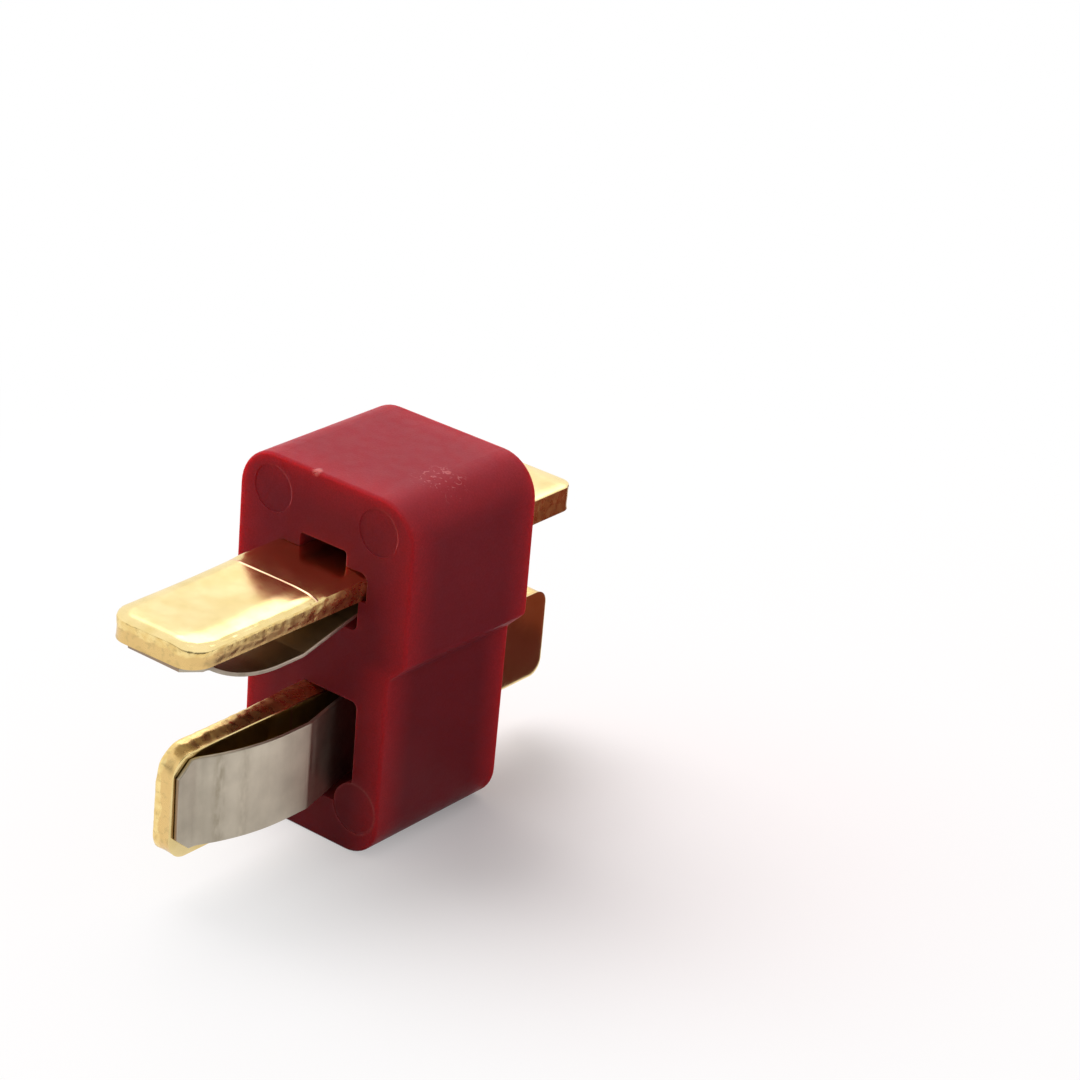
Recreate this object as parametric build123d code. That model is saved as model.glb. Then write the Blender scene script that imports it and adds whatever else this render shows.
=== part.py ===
from build123d import *
import os

# A battery plug: a moulded housing with two flat contacts that cross like a T, and a leaf spring on each.
# X is the plug's width, Y runs along the contacts from their tips to their solder tabs, and Z is up.
# The origin is the middle of the end face that the plug stands on.

# Housing
housing_height = 16.0
housing_depth = 7.6
wide_width = 9.2
narrow_height = 8.35
ledge_width = 0.84
foot_draft = 0.08
top_radius = 1.8
foot_radius = 1.6
ledge_outer_radius = 0.35
ledge_inner_radius = 0.3
edge_round = 0.15

# Contacts, two like stampings
contact_thickness = 1.2
blade_width = 4.75
tab_width = 4.1
tab_offset = 0.1
blade_reach = 9.6
tab_reach = 5.9
shoulder_depth = 5.0
tip_slant = 0.15
tip_radius = 1.0
tab_radius = 0.7
rolled_edge = 0.35
tab_edge_round = 0.2
coined_length = 6.8
coined_drop = 0.03

# The lance is a small block pressed out of the contact, which holds it in behind the housing
lance_size = 2.0
lance_rise = 0.5
lance_round = 0.15
lance_seat_gap = 0.2

# Where the contacts lie: the upper one as the bar of the T, the lower one as its stem
bar_cover = 3.5
stem_cover = 2.025
stem_face_offset = 0.4
stem_setback = 1.05

# Leaf springs, each a strip with its lengths along the blade from the blade's tip
spring_thickness = 0.18
spring_width = 3.9
spring_front = 0.25
spring_foot = 1.05
spring_crest = 5.4
bar_crest_rise = 1.5
stem_crest_rise = 1.2
spring_crease = 6.6
bar_landing_depth = 2.3
stem_landing_depth = 2.1
spring_tail = 2.2
spring_bend_radius = 0.8
spring_crease_radius = 0.4
spring_corner_length = 0.6
spring_corner_width = 0.7

# Passages and pockets in the housing
contact_clearance = 0.02
spring_clearance = 0.03
groove_side_gap = 0.25
groove_top_gap = 0.15
groove_corner = 0.15
groove_land = 1.2
bar_pocket_side_gap = 0.05
bar_pocket_depth = 1.4
stem_pocket_side_gap = 0.45
stem_pocket_depth = 1.88
pocket_corner = 0.3
pocket_past_landing = 0.6
tail_slot_gap = 0.06
overcut = 1.0

# Round marks that the ejector pins leave on the front
mark_depth = 0.04
top_mark_radius = 1.0
top_mark_inset = 1.8
top_mark_drop = 1.5
foot_mark_radius = 1.1
foot_mark_inset = 1.23
foot_mark_height = 2.05

front = -housing_depth / 2
same = 1e-6
narrow_width = wide_width - 2 * ledge_width
foot_width = narrow_width - 2 * foot_draft
stem_reach = blade_reach - stem_setback
contact_length = blade_reach + housing_depth + tab_reach
shoulder_from_tip = blade_reach + shoulder_depth
lance_from_tip = blade_reach + housing_depth + lance_seat_gap
lance_end = lance_from_tip + lance_size
bar_landing = blade_reach + bar_landing_depth
stem_landing = stem_reach + stem_landing_depth

# Each contact has its own frame: x across its width, y from the tip backwards, z away from its spring.
bar_face_height = housing_height - bar_cover - contact_thickness
stem_middle_height = stem_cover + blade_width / 2
upper_frame = Plane((0, front - blade_reach, bar_face_height), x_dir=(1, 0, 0), z_dir=(0, 0, 1))
lower_tip = (stem_face_offset, front - stem_reach, stem_middle_height)
lower_frame = Plane(lower_tip, x_dir=(0, 0, 1), z_dir=(-1, 0, 0))


def block(width, start, end, low, high):
    """A box centred across x, from start to end along y and from low to high in z."""
    size = Box(width, end - start, high - low)
    return Pos(0, (start + end) / 2, (low + high) / 2) * size


def housing_section():
    """The T-shaped outline, in the XZ plane, with all its corners rounded."""
    wide = wide_width / 2
    narrow = narrow_width / 2
    ledge_top = narrow_height + ledge_width
    right = [(foot_width / 2, 0), (narrow, narrow_height), (wide, ledge_top), (wide, housing_height)]
    left = [(-x, z) for x, z in reversed(right)]
    outline = make_face(Polyline(right + left, close=True))
    radii = [foot_radius, ledge_inner_radius, ledge_outer_radius, top_radius]
    for radius, (x, z) in zip(radii, right):
        corners = [v for v in outline.vertices() if abs(abs(v.X) - x) < same and abs(v.Y - z) < same]
        outline = fillet(corners, radius)
    return outline


def rolled(outline, radius):
    """A flat bar of this outline with its upper edges rounded, except at the shoulders."""
    bar = extrude(outline, contact_thickness)
    rims = bar.faces().sort_by(Axis.Z)[-1].edges()
    return fillet([e for e in rims if abs(e.center().Y - shoulder_from_tip) > same], radius)


def contact():
    """One stamping: a blade with a slanted tip, shoulders, a solder tab and a pressed-out lance."""
    side = blade_width / 2
    corners = [(-side, 0), (side, tip_slant), (side, shoulder_from_tip), (-side, shoulder_from_tip)]
    blade = make_face(Polyline(corners, close=True))
    blade = fillet(blade.vertices().sort_by(Axis.Y)[:2], tip_radius)
    tab_length = contact_length - shoulder_from_tip
    tab = Pos(tab_offset, shoulder_from_tip + tab_length / 2) * Rectangle(tab_width, tab_length)
    tab = fillet(tab.vertices().group_by(Axis.Y)[-1], tab_radius)
    body = rolled(blade, rolled_edge) + rolled(tab, tab_edge_round)
    lance = block(lance_size, lance_from_tip, lance_end, 0, contact_thickness + lance_rise)
    lance = fillet(lance.edges().filter_by(Axis.Z), lance_round)
    lance = fillet(lance.faces().sort_by(Axis.Z)[-1].edges(), lance_round)
    hollow = block(lance_size, lance_from_tip, lance_end, -lance_rise, lance_rise)
    coined_face = contact_thickness - coined_drop
    coined = block(blade_width + overcut, -overcut, coined_length, coined_face, contact_thickness)
    return body + lance - hollow - coined


def leaf_spring(crest_rise, landing):
    """One strip: a foot on the blade's tip, a bow to a flat crest, a straight fall and a flat tail."""
    face = -spring_clearance
    crest = face - crest_rise + spring_thickness
    end = landing + spring_tail
    foot_end = spring_front + spring_foot
    bow_length = spring_crest - foot_end
    bow_height = face - crest
    bow_radius = (bow_length**2 + bow_height**2) / (2 * bow_height)
    half_drop = bow_radius - (bow_radius**2 - (bow_length / 2) ** 2) ** 0.5
    foot = Line((spring_front, face), (foot_end, face))
    bow = ThreePointArc(foot @ 1, (spring_crest - bow_length / 2, crest + half_drop), (spring_crest, crest))
    ridge = Line(bow @ 1, (spring_crease, crest))
    fall = Line(ridge @ 1, (landing, face))
    tail = Line(fall @ 1, (end, face))
    path = Wire([foot, bow, ridge, fall, tail])
    bends = {foot_end: spring_bend_radius, spring_crease: spring_crease_radius, landing: spring_bend_radius}
    for place, radius in bends.items():
        path = path.fillet_2d(radius, [v for v in path.vertices() if abs(v.X - place) < same])
    section = make_face(path.offset_2d(spring_thickness, side=Side.RIGHT, closed=True))
    strip = extrude(Plane.YZ * section, spring_width / 2, both=True)
    tip = strip.faces().sort_by(Axis.Y)[0]
    corners = tip.edges().filter_by(Axis.Z)
    return chamfer(corners, spring_corner_length, spring_corner_width, reference=tip)


def channel(width, start, end, near, far, corner):
    """A straight channel from near to far in z, with its two far corners rounded."""
    bar = block(width, start, end, min(near, far), max(near, far))
    corners = [e for e in bar.edges().filter_by(Axis.Y) if abs(e.center().Z - far) < same]
    return fillet(corners, corner)


def passage(reach, landing, side_gap, pocket_depth):
    """All that one contact and its spring need cut out of the housing, in the contact's own frame."""
    entry = reach - overcut
    exit_end = reach + housing_depth + overcut
    low = -contact_clearance
    high = contact_thickness + contact_clearance
    shoulder = shoulder_from_tip + contact_clearance
    blade_corner = rolled_edge + contact_clearance
    blade = channel(blade_width + 2 * contact_clearance, entry, shoulder, low, high, blade_corner)
    tab = block(tab_width + 2 * contact_clearance, shoulder_from_tip, exit_end, low, high)
    groove_width = lance_size + 2 * groove_side_gap
    groove_top = contact_thickness + lance_rise + groove_top_gap
    groove_end = reach + housing_depth - groove_land
    groove = channel(groove_width, entry, groove_end, 0, groove_top, groove_corner)
    pocket_width = spring_width + 2 * side_gap
    pocket_end = landing + pocket_past_landing
    pocket = channel(pocket_width, entry, pocket_end, 0, -pocket_depth, pocket_corner)
    slot_width = spring_width + 2 * tail_slot_gap
    slot_low = -spring_clearance - spring_thickness - tail_slot_gap
    slot = block(slot_width, entry, landing + spring_tail + tail_slot_gap, slot_low, 0)
    return blade + Pos(tab_offset, 0) * tab + groove + pocket + slot


def ejector_pin(x, z, radius, start, end):
    """A round bar along Y, from start to end behind the front."""
    return Plane((x, front + start, z), z_dir=(0, 1, 0)) * extrude(Circle(radius), end - start)


def housing():
    """The moulded body with its passages, spring pockets and ejector marks."""
    body = extrude(Plane.XZ * housing_section(), housing_depth / 2, both=True)
    ends = body.faces().sort_by(Axis.Y)
    body = fillet(ends[0].edges() + ends[-1].edges(), edge_round)
    upper = upper_frame * passage(blade_reach, bar_landing, bar_pocket_side_gap, bar_pocket_depth)
    lower = lower_frame * passage(stem_reach, stem_landing, stem_pocket_side_gap, stem_pocket_depth)
    top_x = wide_width / 2 - top_mark_inset
    top_z = housing_height - top_mark_drop
    foot_x = foot_width / 2 - foot_mark_inset
    # One ejector pin pushes on a pillar that stands in the corner of the lower pocket.
    pillar = ejector_pin(foot_x, foot_mark_height, foot_mark_radius, -overcut, housing_depth)
    body = body - upper - (lower - pillar)
    for side in (-1, 1):
        body -= ejector_pin(side * top_x, top_z, top_mark_radius, 0, mark_depth)
        body -= ejector_pin(side * foot_x, foot_mark_height, foot_mark_radius, 0, mark_depth)
    return body


stamping = contact()
pieces = {
    "housing": housing(),
    "upper_contact": upper_frame * stamping,
    "lower_contact": lower_frame * stamping,
    "upper_spring": upper_frame * leaf_spring(bar_crest_rise, bar_landing),
    "lower_spring": lower_frame * leaf_spring(stem_crest_rise, stem_landing),
}

os.makedirs("parts", exist_ok=True)
for name, piece in pieces.items():
    export_step(piece, f"parts/{name}.step")
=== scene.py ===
import math
import bpy
from mathutils import Matrix, Vector


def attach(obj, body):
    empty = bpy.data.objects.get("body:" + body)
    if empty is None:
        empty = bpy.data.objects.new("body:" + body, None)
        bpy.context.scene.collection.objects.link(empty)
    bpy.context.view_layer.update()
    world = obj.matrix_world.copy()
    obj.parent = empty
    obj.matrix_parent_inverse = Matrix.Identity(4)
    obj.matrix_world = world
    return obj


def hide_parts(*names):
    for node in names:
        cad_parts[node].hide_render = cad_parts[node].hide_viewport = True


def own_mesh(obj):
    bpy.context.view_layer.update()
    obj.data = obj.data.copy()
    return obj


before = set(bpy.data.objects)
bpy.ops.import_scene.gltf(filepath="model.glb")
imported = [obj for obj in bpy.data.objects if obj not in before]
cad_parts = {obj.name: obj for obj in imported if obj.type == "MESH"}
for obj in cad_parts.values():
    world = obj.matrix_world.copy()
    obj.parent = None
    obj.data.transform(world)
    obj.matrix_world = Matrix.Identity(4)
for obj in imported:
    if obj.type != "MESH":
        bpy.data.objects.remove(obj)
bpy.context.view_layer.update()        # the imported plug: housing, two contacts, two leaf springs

mm = 0.001        # new pieces are modelled with 1 unit as 1 mm, then scaled to metres
hair = 0.01        # places closer than this, in millimetres, count as the same
flat = 0.9        # a face whose normal has more than this along z counts as flat

# Where the two contacts lie: the tip's middle on the blade face that carries the spring, in millimetres
places = {
    "upper": {"tip": (0, -13.4, 11.3), "turn": 0},
    "lower": {"tip": (0.4, -12.35, 4.4), "turn": -90},
}


# Helpers for edit mode

def deselectAll():
    if bpy.context.object and bpy.context.object.mode != "OBJECT":
        bpy.ops.object.mode_set(mode="OBJECT")
    bpy.ops.object.select_all(action="DESELECT")


def activate(piece):
    deselectAll()
    piece.select_set(True)
    bpy.context.view_layer.objects.active = piece


# Selects the vertices, edges or faces that pass the test, and goes to edit mode.
def pick(piece, kind, test):
    activate(piece)
    mesh = piece.data
    for group in (mesh.vertices, mesh.edges, mesh.polygons):
        group.foreach_set("select", [False] * len(group))
    for item in {"VERT": mesh.vertices, "EDGE": mesh.edges, "FACE": mesh.polygons}[kind]:
        if kind == "VERT":
            item.select = test(item.co)
        elif kind == "EDGE":
            item.select = test(*(mesh.vertices[v].co for v in item.vertices))
        else:
            item.select = test(item.center, item.normal)
    bpy.ops.object.mode_set(mode="EDIT")
    bpy.ops.mesh.select_mode(type=kind)


def objectMode():
    bpy.ops.object.mode_set(mode="OBJECT")


def addModifier(piece, kind, **settings):
    activate(piece)
    modifier = piece.modifiers.new(kind.title(), kind)
    for key, value in settings.items():
        setattr(modifier, key, value)
    bpy.ops.object.modifier_apply(modifier=modifier.name)


def editAll(piece):
    activate(piece)
    bpy.ops.object.mode_set(mode="EDIT")
    bpy.ops.mesh.select_all(action="SELECT")


# Extrudes what is selected and moves it.
def pull(x, y, z):
    bpy.ops.mesh.extrude_region_move(TRANSFORM_OT_translate={"value": (x, y, z)})


def cutAt(piece, point, normal, clear=False):
    editAll(piece)
    bpy.ops.mesh.bisect(plane_co=point, plane_no=normal, clear_outer=clear)
    objectMode()


def roundCorners(piece, radius, steps, test):
    pick(piece, "VERT", test)
    bpy.ops.mesh.bevel(offset=radius, offset_type="OFFSET", segments=steps, affect="VERTICES")
    objectMode()


def addPlane(name):
    deselectAll()
    bpy.ops.mesh.primitive_plane_add(size=1, location=(0, 0, 0))
    bpy.context.object.name = name
    return bpy.context.object


# A plane of the stage, with its size and place in millimetres.
def layPlane(name, size, place, tilt=0):
    piece = addPlane(name)
    piece.scale = (size[0] * mm, size[1] * mm, 1)
    piece.rotation_euler = (math.radians(tilt), 0, 0)
    piece.location = Vector(place) * mm
    bpy.ops.object.transform_apply(location=True, rotation=True, scale=True)
    return piece


# Puts a piece made in a contact's own frame to its place on the plug, in metres.
def setDown(piece, place):
    activate(piece)
    piece.scale = (mm, mm, mm)
    piece.rotation_euler = (0, math.radians(place["turn"]), 0)
    piece.location = Vector(place["tip"]) * mm
    bpy.ops.object.transform_apply(location=True, rotation=True, scale=True)


# Camera, at the photograph's angle and framing

camera = {
    "eye": (77.18, -92.76, 68.19),
    "azimuth": 36.797,
    "elevation": 24.74,
    "lean": 5.162,        # how far upright lines lean to the right
    "lens": 109.45,
    "sensor": 36.0,
    "clip": (0.005, 5.0),
}


def addCamera():
    azimuth, elevation, lean = (math.radians(camera[k]) for k in ("azimuth", "elevation", "lean"))
    away = math.cos(elevation)
    back = Vector((math.sin(azimuth) * away, -math.cos(azimuth) * away, math.sin(elevation)))
    level = Vector((math.cos(azimuth), math.sin(azimuth), 0))
    right = level * math.cos(lean) + back.cross(level) * math.sin(lean)
    up = back.cross(right)
    data = bpy.data.cameras.new("photoCamera")
    data.lens = camera["lens"]
    data.sensor_width = camera["sensor"]
    data.clip_start, data.clip_end = camera["clip"]
    holder = bpy.data.objects.new("photoCamera", data)
    bpy.context.collection.objects.link(holder)
    turn = Matrix((right, up, back)).transposed().to_4x4()
    holder.matrix_world = Matrix.Translation(Vector(camera["eye"]) * mm) @ turn
    bpy.context.scene.camera = holder
    print("camera set")


addCamera()


# Shader node groups, shared by the materials

def startGroup(name, inputs, outputs):
    group = bpy.data.node_groups.new(name, "ShaderNodeTree")
    for label, kind, value in inputs:
        socket = group.interface.new_socket(name=label, in_out="INPUT", socket_type=kind)
        socket.default_value = value
    for label, kind in outputs:
        group.interface.new_socket(name=label, in_out="OUTPUT", socket_type=kind)
    return group, group.nodes.new("NodeGroupInput"), group.nodes.new("NodeGroupOutput")


# Gives a socket a plain number, vector or colour, or links another socket to it.
def feed(tree, value, socket):
    if isinstance(value, (int, float, tuple)):
        socket.default_value = value
    else:
        tree.links.new(value, socket)


def compute(tree, operation, *values):
    node = tree.nodes.new("ShaderNodeMath")
    node.operation = operation
    for value, socket in zip(values, node.inputs):
        feed(tree, value, socket)
    return node.outputs[0]


# A soft change from low to high while the value goes from start to end.
def eased(tree, value, start, end, low=0.0, high=1.0):
    node = tree.nodes.new("ShaderNodeMapRange")
    node.interpolation_type = "SMOOTHSTEP"
    settings = {"Value": value, "From Min": start, "From Max": end, "To Min": low, "To Max": high}
    for label, setting in settings.items():
        feed(tree, setting, node.inputs[label])
    return node.outputs["Result"]


# The three parts of the Object coordinates, or of the normal.
def splitPlace(tree, kind="Object"):
    place = tree.nodes.new("ShaderNodeTexCoord")
    parts = tree.nodes.new("ShaderNodeSeparateXYZ")
    tree.links.new(place.outputs[kind], parts.inputs[0])
    return parts.outputs


def farFrom(tree, middle):
    place = tree.nodes.new("ShaderNodeTexCoord")
    far = tree.nodes.new("ShaderNodeVectorMath")
    far.operation = "DISTANCE"
    tree.links.new(place.outputs["Object"], far.inputs[0])
    feed(tree, middle, far.inputs[1])
    return far.outputs["Value"]


def placeGroup(tree, group, **values):
    node = tree.nodes.new("ShaderNodeGroup")
    node.node_tree = group
    for label, value in values.items():
        feed(tree, value, node.inputs[label])
    return node


# Noise on Object coordinates, with the group's own Scale and Stretch.
def stretchedNoise(group, start, detail):
    place = group.nodes.new("ShaderNodeTexCoord")
    stretch = group.nodes.new("ShaderNodeVectorMath")
    stretch.operation = "MULTIPLY"
    noise = group.nodes.new("ShaderNodeTexNoise")
    noise.inputs["Detail"].default_value = detail
    group.links.new(place.outputs["Object"], stretch.inputs[0])
    group.links.new(start.outputs["Stretch"], stretch.inputs[1])
    group.links.new(stretch.outputs[0], noise.inputs["Vector"])
    group.links.new(start.outputs["Scale"], noise.inputs["Scale"])
    return noise


# Fine relief: noise as height, on top of the normal that comes in.
def makeRelief():
    group, start, end = startGroup("relief", [
        ("Scale", "NodeSocketFloat", 5000.0),
        ("Stretch", "NodeSocketVector", (1, 1, 1)),
        ("Depth", "NodeSocketFloat", 0.00001),
        ("Strength", "NodeSocketFloat", 0.5),
        ("Normal", "NodeSocketVector", (0, 0, 0)),
    ], [("Normal", "NodeSocketVector")])
    noise = stretchedNoise(group, start, 4)
    bump = group.nodes.new("ShaderNodeBump")
    group.links.new(noise.outputs["Fac"], bump.inputs["Height"])
    group.links.new(start.outputs["Depth"], bump.inputs["Distance"])
    group.links.new(start.outputs["Strength"], bump.inputs["Strength"])
    group.links.new(start.outputs["Normal"], bump.inputs["Normal"])
    group.links.new(bump.outputs["Normal"], end.inputs["Normal"])
    return group


# Patches of a value between Low and High, for roughness and for mixing colours.
def makeMottle():
    group, start, end = startGroup("mottle", [
        ("Scale", "NodeSocketFloat", 800.0),
        ("Stretch", "NodeSocketVector", (1, 1, 1)),
        ("Low", "NodeSocketFloat", 0.0),
        ("High", "NodeSocketFloat", 1.0),
    ], [("Value", "NodeSocketFloat")])
    noise = stretchedNoise(group, start, 3)
    spread = group.nodes.new("ShaderNodeMapRange")
    spread.inputs["From Min"].default_value = 0.35
    spread.inputs["From Max"].default_value = 0.65
    group.links.new(noise.outputs["Fac"], spread.inputs["Value"])
    group.links.new(start.outputs["Low"], spread.inputs["To Min"])
    group.links.new(start.outputs["High"], spread.inputs["To Max"])
    group.links.new(spread.outputs["Result"], end.inputs["Value"])
    return group


# Scratches inside a round patch of the surface.
def makeScratches():
    group, start, end = startGroup("scratches", [
        ("Middle", "NodeSocketVector", (0, 0, 0)),
        ("Reach", "NodeSocketFloat", 0.001),
        ("Cover", "NodeSocketFloat", 0.5),
    ], [("Value", "NodeSocketFloat")])
    share = compute(group, "DIVIDE", farFrom(group, start.outputs["Middle"]), start.outputs["Reach"])
    place = group.nodes.new("ShaderNodeTexCoord")
    noise = group.nodes.new("ShaderNodeTexNoise")
    noise.inputs["Scale"].default_value = 3200.0
    noise.inputs["Distortion"].default_value = 1.5
    group.links.new(place.outputs["Object"], noise.inputs["Vector"])
    above = compute(group, "SUBTRACT", noise.outputs["Fac"], start.outputs["Cover"])
    value = compute(group, "MULTIPLY", eased(group, above, 0.0, 0.08), eased(group, share, 1.0, 0.4))
    group.links.new(value, end.inputs["Value"])
    return group


relief = makeRelief()
mottle = makeMottle()
scratches = makeScratches()


# Zones of a stamping: a mask from 0 to 1 between two places along one of its own axes, with a wavy border.
def makeZone():
    group, start, end = startGroup("zone", [
        ("Axis", "NodeSocketVector", (0, 1, 0)),
        ("Start", "NodeSocketFloat", 0.0),
        ("End", "NodeSocketFloat", 1.0),
        ("Wave", "NodeSocketFloat", 0.0),
    ], [("Value", "NodeSocketFloat")])
    own = group.nodes.new("ShaderNodeAttribute")
    own.attribute_name = "ownPlace"
    along = group.nodes.new("ShaderNodeVectorMath")
    along.operation = "DOT_PRODUCT"
    group.links.new(own.outputs["Vector"], along.inputs[0])
    group.links.new(start.outputs["Axis"], along.inputs[1])
    low = compute(group, "MULTIPLY", start.outputs["Wave"], -1.0)
    waves = placeGroup(group, mottle, Scale=1500.0, Low=low, High=start.outputs["Wave"])
    where = compute(group, "ADD", along.outputs["Value"], waves.outputs["Value"])
    value = eased(group, where, start.outputs["Start"], start.outputs["End"])
    group.links.new(value, end.inputs["Value"])
    return group


zone = makeZone()


def mottled(tree, scale, low=0.0, high=1.0, stretch=(1, 1, 1)):
    return placeGroup(tree, mottle, Scale=scale, Low=low, High=high, Stretch=stretch).outputs["Value"]


# Layers of relief, the coarse one first, each with its scale, depth and strength.
def layRelief(tree, *layers):
    normal = (0, 0, 0)
    for scale, depth, strength in layers:
        layer = placeGroup(tree, relief, Scale=scale, Depth=depth, Strength=strength, Normal=normal)
        normal = layer.outputs["Normal"]
    return normal


def startMaterial(name):
    material = bpy.data.materials.new(name)
    material.use_nodes = True
    return material, material.node_tree, material.node_tree.nodes["Principled BSDF"]


# Lays a colour over a plain or a patterned one, by a mask that changes over the surface.
def blendColour(tree, below, colour, mask):
    mix = tree.nodes.new("ShaderNodeMix")
    mix.data_type = "RGBA"
    feed(tree, (*below, 1) if isinstance(below, tuple) else below, mix.inputs["A"])
    feed(tree, (*colour, 1), mix.inputs["B"])
    tree.links.new(mask, mix.inputs["Factor"])
    return mix.outputs["Result"]


# The second shader laid over the first one by a factor.
def blendShaders(tree, first, second, factor):
    blend = tree.nodes.new("ShaderNodeMixShader")
    tree.links.new(factor, blend.inputs["Fac"])
    tree.links.new(first.outputs[0], blend.inputs[1])
    tree.links.new(second.outputs[0], blend.inputs[2])
    return blend


# Red nylon of the housing. A mottle is given as scale, low and high, a relief as scale, depth and strength

nylon = {
    "glow": (0.66, 0.036, 0.047),
    "glowBand": 0.0019,        # the band along the outer edges where light coming through is painted into the colour
    "glowShare": 0.62,
    "glowOnTop": 0.3,        # how much of it the top face shows
    "topFacing": (0.4, 0.9),
    "half": (0.00376, 0.0046),        # half widths below and above the ledge
    "ledge": (0.00835, 0.0092),
    "depth": 0.0038,
    "height": 0.016,
    "scars": {        # middle, reach, the noise level above which it is scratched, and colour
        "gate": ((0.0031, -0.0006, 0.0159), 0.0014, 0.58, (0.62, 0.20, 0.20)),
        "chip": ((-0.0006, -0.0037, 0.01597), 0.00028, 0.38, (0.72, 0.28, 0.26)),
    },
    "rim": ((0.00247, -0.0038, 0.00205), 0.0011, 0.00013),        # foot mark: middle, radius, and the width of its pale band, a painted highlight
    "rimHighlightColour": (0.50, 0.13, 0.13),
    "rimHighlightShare": (900.0, 0.12, 0.5),
    "rimFrom": (-0.0036, -0.0037),        # it lies on the front face only
    "speck": (0.20, 0.016, 0.022),
    "specks": (14000.0, 0.0, 0.35),
    "lower": (0.212, 0.023, 0.030),        # the colour near the foot and near the top, darker towards the foot as painted shade
    "upper": (0.33, 0.031, 0.044),
    "paintedLightFrom": (0.003, 0.015, 0.0, 0.85),        # heights, and the share of the upper colour there, for the painted light and shade
    "patches": (450.0, 0.0, 0.15),
    "bleed": (1.0, 0.12, 0.08),
    "bleedDepth": 0.0012,
    "shine": 0.055,
    "roughness": (1800.0, 0.38, 0.5),
    "relief": ((700.0, 0.00003, 0.4), (9000.0, 0.000012, 0.6)),
    "scarDepth": 0.00006,
    "scarShare": 0.6,        # how much of their own colour the scars take
}


# Mask of the painted glow: 1 along the outer edges of the housing, falling to 0 across the band.
def makePaintedGlowBand():
    group, start, end = startGroup("paintedGlowBand", [], [("Value", "NodeSocketFloat")])
    parts = splitPlace(group)
    band = nylon["glowBand"]
    across = compute(group, "ABSOLUTE", parts["X"])
    along = compute(group, "ABSOLUTE", parts["Y"])
    half = eased(group, parts["Z"], *nylon["ledge"], *nylon["half"])
    side = eased(group, compute(group, "SUBTRACT", across, half), -band, 0.0)
    face = eased(group, along, nylon["depth"] - band, nylon["depth"])
    top = eased(group, parts["Z"], nylon["height"] - band, nylon["height"])
    upper = compute(group, "MULTIPLY", compute(group, "MAXIMUM", face, side), top)
    value = compute(group, "MAXIMUM", compute(group, "MULTIPLY", face, side), upper)
    share = eased(group, splitPlace(group, "Normal")["Z"], *nylon["topFacing"], 1.0, nylon["glowOnTop"])
    group.links.new(compute(group, "MULTIPLY", value, share), end.inputs["Value"])
    return group


def makeNylon():
    material, tree, shader = startMaterial("redNylon")
    parts = splitPlace(tree)
    # Painted light and shade: darker towards the foot and lighter towards the top, with random patches of
    # tone
    height = eased(tree, parts["Z"], *nylon["paintedLightFrom"])
    share = compute(tree, "ADD", height, mottled(tree, *nylon["patches"]))
    colour = blendColour(tree, nylon["lower"], nylon["upper"], share)
    # Painted glow: light coming through the outer edges, painted into the base colour, weaker on faces that
    # look up.
    band = placeGroup(tree, makePaintedGlowBand()).outputs["Value"]
    colour = blendColour(tree, colour, nylon["glow"], compute(tree, "MULTIPLY", band, nylon["glowShare"]))
    # Painted highlight: a patchy pale band on the foot mark's rim, where its edge catches light.
    middle, radius, width = nylon["rim"]
    away = compute(tree, "ABSOLUTE", compute(tree, "SUBTRACT", farFrom(tree, middle), radius))
    onFront = eased(tree, parts["Y"], *nylon["rimFrom"])
    rim = compute(tree, "MULTIPLY", eased(tree, away, width, 0.0), onFront)
    patchyShare = compute(tree, "MULTIPLY", rim, mottled(tree, *nylon["rimHighlightShare"]))
    colour = blendColour(tree, colour, nylon["rimHighlightColour"], patchyShare)
    colour = blendColour(tree, colour, nylon["speck"], mottled(tree, *nylon["specks"]))
    rough = 0.0
    for middle, reach, cover, tone in nylon["scars"].values():
        mark = placeGroup(tree, scratches, Middle=middle, Reach=reach, Cover=cover).outputs["Value"]
        colour = blendColour(tree, colour, tone, compute(tree, "MULTIPLY", mark, nylon["scarShare"]))
        rough = compute(tree, "MAXIMUM", mark, rough)
    tree.links.new(colour, shader.inputs["Base Color"])
    shader.inputs["Subsurface Weight"].default_value = 1.0
    shader.inputs["Subsurface Radius"].default_value = nylon["bleed"]
    shader.inputs["Subsurface Scale"].default_value = nylon["bleedDepth"]
    shader.inputs["Specular IOR Level"].default_value = nylon["shine"]
    tree.links.new(mottled(tree, *nylon["roughness"]), shader.inputs["Roughness"])
    dent = tree.nodes.new("ShaderNodeBump")
    dent.inputs["Distance"].default_value = nylon["scarDepth"]
    dent.inputs["Strength"].default_value = 0.6
    tree.links.new(rough, dent.inputs["Height"])
    tree.links.new(layRelief(tree, *nylon["relief"]), dent.inputs["Normal"])
    tree.links.new(dent.outputs["Normal"], shader.inputs["Normal"])
    return material


# Gold plate: smooth on the rolled faces, torn on the sheared sides

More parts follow.
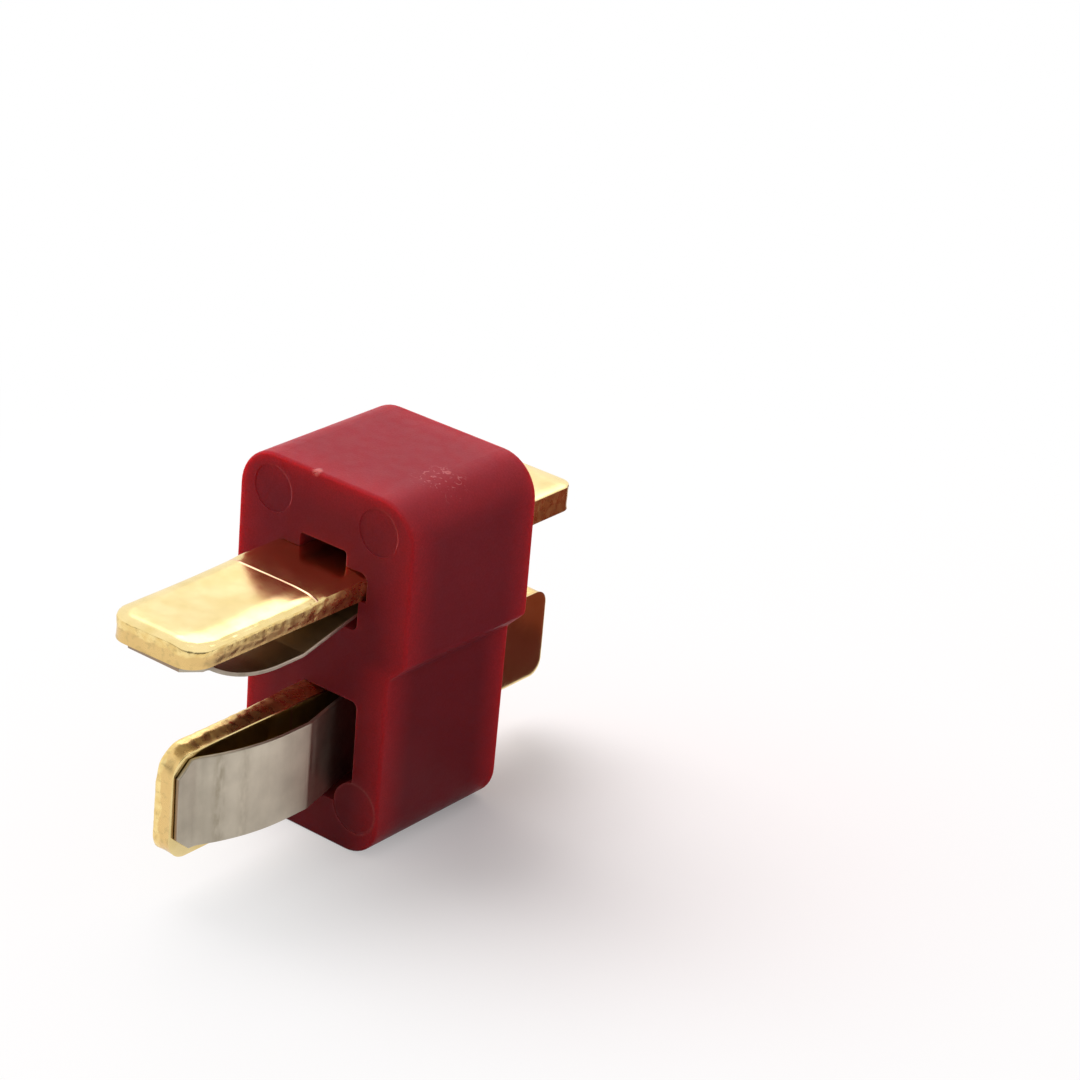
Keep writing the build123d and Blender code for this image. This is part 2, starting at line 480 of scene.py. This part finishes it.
gold = {
    "face": ((0.92, 0.735, 0.36), (0.83, 0.64, 0.27)),
    "faceScale": 900.0,
    # The ridge's pinker colour is a painted reflection of the red housing.
    "ridge": (0.90, 0.60, 0.37),
    "ridgeFrom": (6.70, 6.74),        # distances from the tip
    "side": ((0.99, 0.77, 0.34), (0.86, 0.61, 0.23)),
    "sideScale": 2600.0,
    # The torn zone's darker colour is painted shade.
    "torn": (0.80, 0.55, 0.22),
    "speck": (0.60, 0.44, 0.18),        # small tarnished spots of the sides
    "specks": (3600.0, -1.1, 0.6),        # below 0 there are none
    "tornFrom": (0.66, 0.56),        # heights on the sheared side between which the torn zone begins
    "tornWave": 0.08,
    "dullFrom": (6.82, 6.86),        # distance from the tip where the plain, duller face begins
    "frontRoughness": (2500.0, 0.13, 0.15),
    "plainRoughness": (2500.0, 0.18, 0.22),
    "sideRoughness": (2500.0, 0.24, 0.34),
    "faceRelief": ((600.0, 0.00002, 0.03), (7000.0, 0.000006, 0.08)),
    "sideRelief": ((1600.0, 0.00008, 0.14), (5200.0, 0.00004, 0.1)),
}


def zoneMask(tree, axis, start, end, wave=0.0):
    return placeGroup(tree, zone, Axis=axis, Start=start, End=end, Wave=wave).outputs["Value"]


def makeGoldFace():
    material, tree, shader = startMaterial("goldFace")
    colour = blendColour(tree, *gold["face"], mottled(tree, gold["faceScale"]))
    behind = zoneMask(tree, (0, 1, 0), *gold["dullFrom"])
    # The thin ridge takes a pinker colour: a painted reflection of the red housing.
    ridge = compute(tree, "SUBTRACT", zoneMask(tree, (0, 1, 0), *gold["ridgeFrom"]), behind)
    tree.links.new(blendColour(tree, colour, gold["ridge"], ridge), shader.inputs["Base Color"])
    shader.inputs["Metallic"].default_value = 1.0
    dull = tree.nodes.new("ShaderNodeMix")
    for label, part in (("A", "front"), ("B", "plain")):
        tree.links.new(mottled(tree, *gold[f"{part}Roughness"]), dull.inputs[label])
    tree.links.new(behind, dull.inputs["Factor"])
    tree.links.new(dull.outputs["Result"], shader.inputs["Roughness"])
    tree.links.new(layRelief(tree, *gold["faceRelief"]), shader.inputs["Normal"])
    return material


def makeGoldSide():
    material, tree, shader = startMaterial("goldSide")
    plated = blendColour(tree, *gold["side"], mottled(tree, gold["sideScale"]))
    # The torn half of the sheared side takes a darker colour: painted shade.
    torn = zoneMask(tree, (0, 0, 1), *gold["tornFrom"], gold["tornWave"])
    colour = blendColour(tree, plated, gold["torn"], torn)
    colour = blendColour(tree, colour, gold["speck"], mottled(tree, *gold["specks"]))
    tree.links.new(colour, shader.inputs["Base Color"])
    shader.inputs["Metallic"].default_value = 1.0
    tree.links.new(mottled(tree, *gold["sideRoughness"]), shader.inputs["Roughness"])
    tree.links.new(layRelief(tree, *gold["sideRelief"]), shader.inputs["Normal"])
    return material


# Spring steel, brushed across the strip

steel = {
    "outer": ((0.69, 0.62, 0.50), (0.43, 0.38, 0.30)),
    # Painted shade: a darker copy of the same steel for the faces towards the blade and the front edge.
    "innerShade": ((0.40, 0.30, 0.22), (0.32, 0.23, 0.16)),
    "roughness": (3000.0, 0.36, 0.46),
    "lines": (14000.0, 0.000006, 0.5),        # scale, depth and strength of the brushed lines
    "darkFrom": (-0.0075, -0.0125, 0.0, 0.6),        # the strip darkens towards its front
    "smudges": (900.0, 0.0, 0.35),
    "patchyShare": (4500.0, 0.0, 1.0, (1, 1, 0.4)),
    "streaks": ((-0.01025, 0.6), (-0.0092, 0.3)),        # where they cross the strip, and how strong
    "streakReach": 0.0004,
    "streakColour": (0.30, 0.25, 0.17),
}


# The lines are long in the direction that the grain, a stretch of the noise, makes small.
def makeSteel(name, grain, colours):
    material, tree, shader = startMaterial(name)
    place = splitPlace(tree)["Y"]
    front = eased(tree, place, *steel["darkFrom"])
    colour = blendColour(tree, *colours, compute(tree, "ADD", front, mottled(tree, *steel["smudges"])))
    patchyShare = mottled(tree, *steel["patchyShare"])
    for middle, share in steel["streaks"]:
        far = compute(tree, "ABSOLUTE", compute(tree, "SUBTRACT", place, middle))
        streak = compute(tree, "MULTIPLY", eased(tree, far, steel["streakReach"], 0.0, 0.0, share), patchyShare)
        colour = blendColour(tree, colour, steel["streakColour"], streak)
    tree.links.new(colour, shader.inputs["Base Color"])
    shader.inputs["Metallic"].default_value = 1.0
    tree.links.new(mottled(tree, *steel["roughness"], grain), shader.inputs["Roughness"])
    scale, depth, strength = steel["lines"]
    lines = placeGroup(tree, relief, Scale=scale, Stretch=grain, Depth=depth, Strength=strength)
    tree.links.new(lines.outputs["Normal"], shader.inputs["Normal"])
    return material


goldFace = makeGoldFace()
goldSide = makeGoldSide()
print("materials made")

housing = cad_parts["housing"]
for slot in housing.material_slots:
    slot.material = makeNylon()


# Contacts: one stamping, modelled once in its own frame and copied

stamping = {
    "thickness": 1.2,
    "bladeWidth": 4.75,
    "tabWidth": 4.1,
    "tabOffset": 0.1,
    "shoulderAt": 14.0,
    "shoulderRun": 0.6,
    "length": 23.1,
    "tipGap": 0.003,
    "tipSlant": 0.15,
    "tipRound": (1.0, 14),        # radius and steps of the corners in the outline
    "tabRound": (0.7, 10),
    "shoulderRound": (0.23, 5),
    "outlineStep": 0.12,
    "sideRows": 9,
    "pillow": (0.55, 0.11),        # how far in the top's rounding reaches, and how far it drops
    "underPillow": (0.3, 0.04),
    "rimRun": (0.025, 0.06),        # the steep outermost band of the upper rim, in and down
    "rings": 10,
    "ridgeAt": 6.8,        # the thin ridge between the coined front and the plain blade
    "ridgeRise": 0.013,
    "ridgeRun": (0.07, 0.03),        # its slopes ahead and behind
    "ridgeHold": 0.04,        # a row this far ahead of its foot keeps the foot crisp
    "frontDip": (4.0, 0.11),        # how far ahead of the ridge the coined face dips, and how deep
    "sideFall": (0.9, 0.13),        # where the fall towards the +x side starts, and its depth at the rim
    "frontFall": (1.3, 0.05),
    "cornerFall": 0.14,
    "faceFade": 2.0,        # the length over which all this fades out, up to the shoulders
    "rimBehind": (0.5, 0.5),        # share of the rounding left behind the ridge, and how far behind
    "liftFrom": 0.1,        # the height on the sides from which they follow the top
    "rowStep": 0.3,
    "columns": (-1.4, -1.0, -0.5, 0, 0.5, 1.0, 1.25, 1.5, 1.75),
    "dentDepth": 0.045,
    "dentScale": 0.42,
    "dentMiddle": 0.85,        # grain below this level is pressed in, the rest stands out
    "grainDepth": 2,
    "tornLean": 0.19,        # how far in the torn side leans towards the spring's face
    "tornFade": 5.0,        # the length over which the lean fades out, up to the shoulders
    "tornFull": 0.05,        # the height at which it leans fully
    "tornTop": 0.6,        # height at which the torn side begins, and its waves: swing, pace, shift
    "tornWaves": ((0.05, 3.1, 0), (0.04, 7.7, 1)),
    "tornDepth": 0.022,
    "tornScale": 0.24,
    "tornHeights": (0.75, 0.5),        # heights between which the torn relief grows, and its least share
    "tornLeast": 0.15,
    "plainSide": (9.4, 17.3),        # where the housing holds the sides, and they stay plain
    "plainEase": 0.6,
    "tearMargin": 0.03,        # what stays plain at the lower and upper edge of the sheared sides
    "sideMargin": 0.05,        # how far up into the top's rounding the side's material reaches
    "lanceFrom": 17.4,
    "lanceSize": 2.0,
    "lanceRise": 0.5,
    "lanceRound": (0.15, 4),
    "smoothAngle": 32,
}


def ramp(value, start, end):
    return min(max((value - start) / (end - start), 0.0), 1.0)


# How far below the flat a rolled rim lies, at a distance in from the rim.
def roundedDrop(distance, reach, drop):
    share = max(0.0, 1 - distance / reach)
    return drop * (share**2 + 1 - math.sqrt(1 - share**2)) / 2


# Height of the upper face above a plain flat blade, at a place on it.
def faceHeight(across, along):
    size = stamping
    ahead, behind = size["ridgeRun"]
    reach, depth = size["frontDip"]
    front = size["ridgeAt"] - ahead
    ridge = min(ramp(along, front, size["ridgeAt"]), ramp(along, size["ridgeAt"] + behind, size["ridgeAt"]))
    bulge = 1 - (across / size["bladeWidth"]) ** 2
    dip = depth * bulge * (1 - (1 - ramp(front - along, 0, reach)) ** 2)
    aside = ramp(across, size["sideFall"][0], size["bladeWidth"] / 2)
    forward = ramp(along, size["frontFall"][0], 0)
    fall = size["sideFall"][1] * aside**2 + size["frontFall"][1] * forward**2
    fall += size["cornerFall"] * aside * forward
    fade = ramp(along, size["shoulderAt"], size["shoulderAt"] - size["faceFade"])
    return (size["ridgeRise"] * ridge - dip - fall) * fade


def outlineStamping():
    size = stamping
    piece = addPlane("stamping")
    bpy.ops.object.mode_set(mode="EDIT")
    bpy.ops.transform.resize(value=(size["bladeWidth"], size["shoulderAt"], 1))
    bpy.ops.transform.translate(value=(0, size["shoulderAt"] / 2, size["underPillow"][1]))
    objectMode()
    pick(piece, "EDGE", lambda a, b: min(a.y, b.y) > size["shoulderAt"] - hair)
    pull(size["tabOffset"], size["shoulderRun"], 0)
    bpy.ops.transform.resize(value=(size["tabWidth"] / size["bladeWidth"], 1, 1))
    pull(0, size["length"] - size["shoulderAt"] - size["shoulderRun"], 0)
    objectMode()
    pick(piece, "VERT", lambda v: v.y < hair)
    bpy.ops.transform.translate(value=(0, size["tipGap"], 0))
    objectMode()
    pick(piece, "VERT", lambda v: v.y < hair and v.x > 0)
    bpy.ops.transform.translate(value=(0, size["tipSlant"], 0))
    objectMode()
    roundCorners(piece, *size["tipRound"], lambda v: v.y < size["shoulderAt"] / 2)
    roundCorners(piece, *size["tabRound"], lambda v: v.y > size["length"] - hair)
    roundCorners(piece, *size["shoulderRound"], lambda v: abs(v.y - size["shoulderAt"]) < hair)
    editAll(piece)
    bpy.ops.mesh.remove_doubles(threshold=0.001)
    bpy.ops.mesh.dissolve_faces()
    bpy.ops.mesh.delete(type="ONLY_FACE")
    objectMode()
    for _ in range(8):        # halve every edge that is still long
        pick(piece, "EDGE", lambda a, b: (a - b).length > size["outlineStep"])
        bpy.ops.mesh.subdivide(number_cuts=1)
        objectMode()
    pick(piece, "EDGE", lambda a, b: True)
    bpy.ops.mesh.edge_face_add()
    objectMode()
    return piece


def raiseStamping(piece):
    size = stamping
    reach, drop = size["pillow"]
    underReach, underDrop = size["underPillow"]
    rimIn, rimDown = size["rimRun"]
    wall = size["thickness"] - drop - underDrop - rimDown
    pick(piece, "FACE", lambda c, n: True)
    for _ in range(size["sideRows"]):
        pull(0, 0, wall / size["sideRows"])
    editAll(piece)
    bpy.ops.mesh.normals_make_consistent(inside=False)
    objectMode()
    pick(piece, "FACE", lambda c, n: n.z > flat)
    bpy.ops.mesh.inset(thickness=rimIn, depth=rimDown)
    objectMode()
    for up, total, fall in ((1, reach, drop), (-1, underReach, underDrop)):
        pick(piece, "FACE", lambda c, n: n.z * up > flat)
        for ring in range(size["rings"]):
            near = total * ring / size["rings"]
            far = total * (ring + 1) / size["rings"]
            rise = roundedDrop(near, total, fall) - roundedDrop(far, total, fall)
            bpy.ops.mesh.inset(thickness=far - near, depth=rise)
        objectMode()


# Rows and columns across the top, then the thin ridge and the face that falls to the front and to one side.
def coinFront(piece):
    size = stamping
    ahead, behind = size["ridgeRun"]
    front = size["ridgeAt"] - ahead
    rows = [size["ridgeAt"] + behind, size["ridgeAt"], front, front - size["ridgeHold"]]
    rows += [front - size["rowStep"] * k for k in range(1, int(front / size["rowStep"]))]
    rows += [size["lanceFrom"], size["lanceFrom"] + size["lanceSize"]]
    for row in rows:
        cutAt(piece, (0, row, 0), (0, 1, 0))
    for column in size["columns"]:
        cutAt(piece, (column, 0, 0), (1, 0, 0))
    drop = size["pillow"][1]
    rim = size["thickness"] - drop - size["rimRun"][1]
    left, run = size["rimBehind"]
    for vertex in piece.data.vertices:
        across, along, height = vertex.co
        flatter = (1 - left) * ramp(along, size["ridgeAt"], size["ridgeAt"] + run)
        lift = flatter * (size["thickness"] - height if height > rim - hair else drop)
        vertex.co.z += (lift + faceHeight(across, along)) * ramp(height, size["liftFrom"], rim)
        start = size["tornTop"]
        start += sum(swing * math.sin(pace * along + shift) for swing, pace, shift in size["tornWaves"])
        clear = ramp(along, size["shoulderAt"], size["shoulderAt"] - size["tornFade"])
        lean = size["tornLean"] * clear * ramp(height, start, size["tornFull"])
        if across > 0:
            vertex.co.x *= 1 - 2 * lean / size["bladeWidth"]


# The lance stands up behind the housing, and leaves a hollow on the other face.
def pressLance(piece):
    size = stamping
    end = size["lanceFrom"] + size["lanceSize"]
    half = size["lanceSize"] / 2

    def inside(c):
        return abs(c.x) < half and size["lanceFrom"] < c.y < end

    for up in (1, -1):
        pick(piece, "FACE", lambda c, n: n.z * up > flat and inside(c))
        pull(0, 0, size["lanceRise"])
        objectMode()
    top = size["thickness"] + size["lanceRise"] - hair
    pick(piece, "FACE", lambda c, n: n.z > flat and c.z > top)
    bpy.ops.mesh.region_to_loop()
    radius, steps = size["lanceRound"]
    bpy.ops.mesh.bevel(offset=radius, segments=steps, affect="EDGES")
    objectMode()


# Dents over all the sheared sides, and a finer torn relief on the half that tore, clear of the housing.
def tearSides(piece):
    size = stamping
    low = size["underPillow"][1] + size["tearMargin"]
    high = size["thickness"] - size["pillow"][1] - size["rimRun"][1] - size["tearMargin"]
    plainFrom, plainTo = size["plainSide"]
    least = size["tornLeast"]
    for name in ("dent", "torn"):
        group = piece.vertex_groups.new(name=name)
        for vertex in piece.data.vertices:
            across, along, height = vertex.co
            if not low < height < high or plainFrom < along < plainTo:
                continue
            behind = along - size["lanceFrom"] + size["plainEase"]
            share = 1 - min(1.0, size["plainEase"] / behind) if behind > 0 else 1.0
            if name == "torn":
                share *= least + (1 - least) * ramp(height, *size["tornHeights"])
            group.add([vertex.index], share, "REPLACE")
        grain = bpy.data.textures.new(f"{name}Grain", "CLOUDS")
        grain.noise_scale = size[f"{name}Scale"]
        grain.noise_depth = size["grainDepth"]
        addModifier(piece, "DISPLACE", texture=grain, vertex_group=name, mid_level=size["dentMiddle"],
                    strength=size[f"{name}Depth"], direction="NORMAL")


# Keeps the stamping's own coordinates on the mesh, for the zones in the materials.
def keepOwnPlace(piece):
    own = piece.data.attributes.new("ownPlace", "FLOAT_VECTOR", "POINT")
    for vertex, entry in zip(piece.data.vertices, own.data):
        entry.vector = vertex.co


def makeStamping():
    piece = outlineStamping()
    raiseStamping(piece)
    coinFront(piece)
    pressLance(piece)
    keepOwnPlace(piece)
    tearSides(piece)
    activate(piece)
    bpy.ops.object.shade_smooth_by_angle(angle=math.radians(stamping["smoothAngle"]))
    addModifier(piece, "WEIGHTED_NORMAL", keep_sharp=True)
    piece.data.materials.append(goldFace)
    piece.data.materials.append(goldSide)
    low = stamping["underPillow"][1]
    high = stamping["thickness"] - stamping["pillow"][1] + stamping["sideMargin"]
    for face in piece.data.polygons:        # the sheared sides
        if abs(face.normal.z) < 0.5 and low < face.center.z < high:
            face.material_index = 1
    return piece


def placeContacts():
    master = makeStamping()
    for name in ("upper", "lower"):
        piece = master if name == "lower" else master.copy()
        if name == "upper":
            piece.data = master.data.copy()
            bpy.context.collection.objects.link(piece)
        piece.name = f"{name}Contact"
        setDown(piece, places[name])
        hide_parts(f"{name}_contact")
        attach(piece, "plug_body")
    print("contacts placed")


placeContacts()


# Leaf springs: a bowed strip on each blade

strips = {
    "width": 3.9,
    "thickness": 0.18,
    "gap": 0.03,        # between the strip's flats and the blade
    "front": 0.25,
    "foot": 1.05,
    "crest": 5.4,
    "crease": 6.6,
    "tail": 2.2,
    "bowSteps": 16,
    "bends": (0.2, 0.05, 0.1),        # how far the bends at the foot, the crease and the landing reach
    "clip": (0.6, 0.7),        # the clipped front corners, across and along
    "bendSteps": 5,
    "edgeRound": (0.035, 3),
    "sharpAngle": 50,        # edges sharper than this are rounded
    "smoothAngle": 40,
    "upper": {
        "rise": 1.5, "landing": 11.9, "grain": (0.06, 1, 1),        # the brushed lines run along x here
        "joint": "upper_spring_flex", "axis": (0, 0, 1), "keep": 0.55,
    },
    "lower": {
        "rise": 1.2, "landing": 10.65, "grain": (1, 1, 0.06),
        "joint": "lower_spring_flex", "axis": (-1, 0, 0), "keep": 0.5,
    },
}


# The bow from the end of the foot to the crest and on to the crease, as distances along and away.
def bowPoints(rise):
    size = strips
    footEnd = size["front"] + size["foot"]
    height = rise - size["thickness"]
    run = size["crest"] - footEnd
    radius = (run * run + height * height) / (2 * height)
    points = []
    for k in range(size["bowSteps"] + 1):
        along = footEnd + run * k / size["bowSteps"]
        points.append((along, height - radius + math.sqrt(radius**2 - (along - size["crest"]) ** 2)))
    return points + [(size["crease"], height)]


def makeStrip(name):
    size = strips
    own = strips[name]
    piece = addPlane(f"{name}Spring")
    bpy.ops.object.mode_set(mode="EDIT")
    bpy.ops.transform.resize(value=(size["width"], size["foot"], 1))
    bpy.ops.transform.translate(value=(0, size["front"] + size["foot"] / 2, 0))
    objectMode()
    route = bowPoints(own["rise"]) + [(own["landing"], 0), (own["landing"] + size["tail"], 0)]
    pick(piece, "EDGE", lambda a, b: min(a.y, b.y) > size["front"] + size["foot"] - hair)
    for (y0, z0), (y1, z1) in zip(route, route[1:]):
        pull(0, y1 - y0, z0 - z1)
    objectMode()
    bends = (size["front"] + size["foot"], size["crease"], own["landing"])
    for bend, offset in zip(bends, size["bends"]):
        pick(piece, "EDGE", lambda a, b: abs(a.y - bend) < hair and abs(b.y - bend) < hair)
        bpy.ops.mesh.bevel(offset=offset, offset_type="OFFSET", segments=size["bendSteps"], affect="EDGES")
        objectMode()
    across, along = size["clip"]
    for side in (-1, 1):
        corner = (side * size["width"] / 2, size["front"] + along, 0)
        cutAt(piece, corner, (side * along, -across, 0), clear=True)
    addModifier(piece, "SOLIDIFY", thickness=size["thickness"], offset=-1)
    editAll(piece)
    bpy.ops.transform.translate(value=(0, 0, -size["gap"]))
    bpy.ops.mesh.normals_make_consistent(inside=False)
    objectMode()
    radius, steps = size["edgeRound"]
    addModifier(piece, "BEVEL", width=radius, segments=steps, limit_method="ANGLE",
                angle_limit=math.radians(size["sharpAngle"]))
    bpy.ops.object.shade_smooth_by_angle(angle=math.radians(size["smoothAngle"]))
    return piece


def placeStrips():
    for name in ("upper", "lower"):
        own = strips[name]
        piece = makeStrip(name)
        for side in ("outer", "innerShade"):
            piece.data.materials.append(makeSteel(f"{name}Steel{side.title()}", own["grain"], steel[side]))
        for face in piece.data.polygons:        # what faces the blade, and the front edge, takes the darker steel: painted shade
            if face.normal.z > 0.5 or face.normal.y < -0.8:
                face.material_index = 1
        setDown(piece, places[name])
        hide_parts(f"{name}_spring")
        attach(piece, "plug_body")
        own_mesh(piece)
    print("springs placed")


placeStrips()


# Floor

floorLook = {
    "size": (1200, 1200),
    "place": (0, 150, 0),
    "colour": (0.92, 0.86, 0.86),
    "bounce": (0.36, 0.34, 0.35),        # the same as diffuse light sees it
    "glow": (0.12, 0.78, 1.0),        # share of plain white that the camera and reflections see
    "glowAt": (0.004, 0.022, 0.055),        # and the distances it has these values at
    "glowCentre": (0.010, 0.006, 0),
}


def addFloor():
    floor = layPlane("floor", floorLook["size"], floorLook["place"])
    material, tree, shader = startMaterial("paleFloor")
    floor.data.materials.append(material)
    shader.inputs["Roughness"].default_value = 0.9
    shader.inputs["Specular IOR Level"].default_value = 0.0
    rays = tree.nodes.new("ShaderNodeLightPath")
    colour = blendColour(tree, floorLook["colour"], floorLook["bounce"], rays.outputs["Is Diffuse Ray"])
    tree.links.new(colour, shader.inputs["Base Color"])
    far = farFrom(tree, floorLook["glowCentre"])
    near, middle, out = floorLook["glowAt"]
    low, half, full = floorLook["glow"]
    glow = compute(tree, "ADD", eased(tree, far, near, middle, low, half),
                   eased(tree, far, middle, out, 0.0, full - half))
    seen = compute(tree, "MAXIMUM", rays.outputs["Is Camera Ray"], rays.outputs["Is Glossy Ray"])
    white = tree.nodes.new("ShaderNodeEmission")
    blend = blendShaders(tree, shader, white, compute(tree, "MULTIPLY", seen, glow))
    tree.links.new(blend.outputs[0], tree.nodes["Material Output"].inputs["Surface"])
    print("floor laid")


addFloor()


# Two dark red cards behind on the right, one upright and one lying, seen only in reflections; their colour
# is painted shade: a red wall in shade and the floor in its shadow

cards = {
    "upright": {
        "size": (18.0, 14.5), "place": (10.0, 18.0, 7.25), "tilt": 90, "colour": (0.18, 0.042, 0.03),
    },
    "lyingShade": {
        "size": (20.0, 14.0), "place": (12.0, 11.0, 0.05), "tilt": 0, "colour": (0.085, 0.017, 0.017),
    },
}


def addCard(name):
    own = cards[name]
    piece = layPlane(f"{name}Card", own["size"], own["place"], own["tilt"])
    material, tree, shader = startMaterial("paintedShadeCard")
    piece.data.materials.append(material)
    # Painted shade, given as the card's own emission.
    shade = tree.nodes.new("ShaderNodeEmission")
    shade.inputs["Color"].default_value = (*own["colour"], 1)
    tree.links.new(shade.outputs[0], tree.nodes["Material Output"].inputs["Surface"])
    piece.visible_camera = False
    piece.visible_diffuse = False
    piece.visible_shadow = False


addCard("upright")
addCard("lyingShade")
print("cards placed")


# Studio light: a large soft lamp above and behind on the left, and a room that dims to the front right

lamp = {
    "place": (-150, 42, 245),
    "aim": (0, -2, 8),
    "size": 0.24,
    "power": 0.7,
}

room = {
    "light": (0.38, 0.62),        # dim and bright side
    "lightRange": (-0.7, 0.7),
    "gleam": (0.14, 1.08),        # the same as shiny pieces see it
    "gleamRange": (-0.55, 0.25),
    "towards": (-0.6, 0.62, 0.5),        # the side of the room that is bright
    "window": (-0.42, 0.60, 0.68),
    "windowRange": (0.962, 0.988),
    "windowGleam": 1.5,
}


def addLamp():
    data = bpy.data.lights.new("softbox", "AREA")
    data.shape = "SQUARE"
    data.size = lamp["size"]
    data.energy = lamp["power"]
    holder = bpy.data.objects.new("softbox", data)
    bpy.context.collection.objects.link(holder)
    place = Vector(lamp["place"]) * mm
    aim = Vector(lamp["aim"]) * mm
    holder.visible_glossy = False        # the room alone gives the gleams
    holder.location = place
    holder.rotation_euler = (aim - place).to_track_quat("-Z", "Y").to_euler()


def addRoom():
    world = bpy.data.worlds.new("studio")
    bpy.context.scene.world = world
    world.use_nodes = True
    tree = world.node_tree
    place = tree.nodes.new("ShaderNodeTexCoord")
    facing = []
    for name in ("towards", "window"):
        along = tree.nodes.new("ShaderNodeVectorMath")
        along.operation = "DOT_PRODUCT"
        along.inputs[1].default_value = Vector(room[name]).normalized()
        tree.links.new(place.outputs["Generated"], along.inputs[0])
        facing.append(along.outputs["Value"])
    plain = tree.nodes["Background"]
    gloss = tree.nodes.new("ShaderNodeBackground")
    white = tree.nodes.new("ShaderNodeBackground")
    for shade in (plain, gloss, white):
        shade.inputs["Color"].default_value = (1, 1, 1, 1)
    light = eased(tree, facing[0], *room["lightRange"], *room["light"])
    gleam = eased(tree, facing[0], *room["gleamRange"], *room["gleam"])
    window = eased(tree, facing[1], *room["windowRange"], 0.0, room["windowGleam"])
    tree.links.new(light, plain.inputs["Strength"])
    tree.links.new(compute(tree, "ADD", gleam, window), gloss.inputs["Strength"])
    rays = tree.nodes.new("ShaderNodeLightPath")
    shiny = compute(tree, "MAXIMUM", rays.outputs["Is Glossy Ray"], rays.outputs["Is Transmission Ray"])
    indirect = blendShaders(tree, plain, gloss, shiny)
    seen = blendShaders(tree, indirect, white, rays.outputs["Is Camera Ray"])
    tree.links.new(seen.outputs[0], tree.nodes["World Output"].inputs["Surface"])


addLamp()
addRoom()
bpy.context.scene.view_settings.view_transform = "Standard"
print("studio lit")
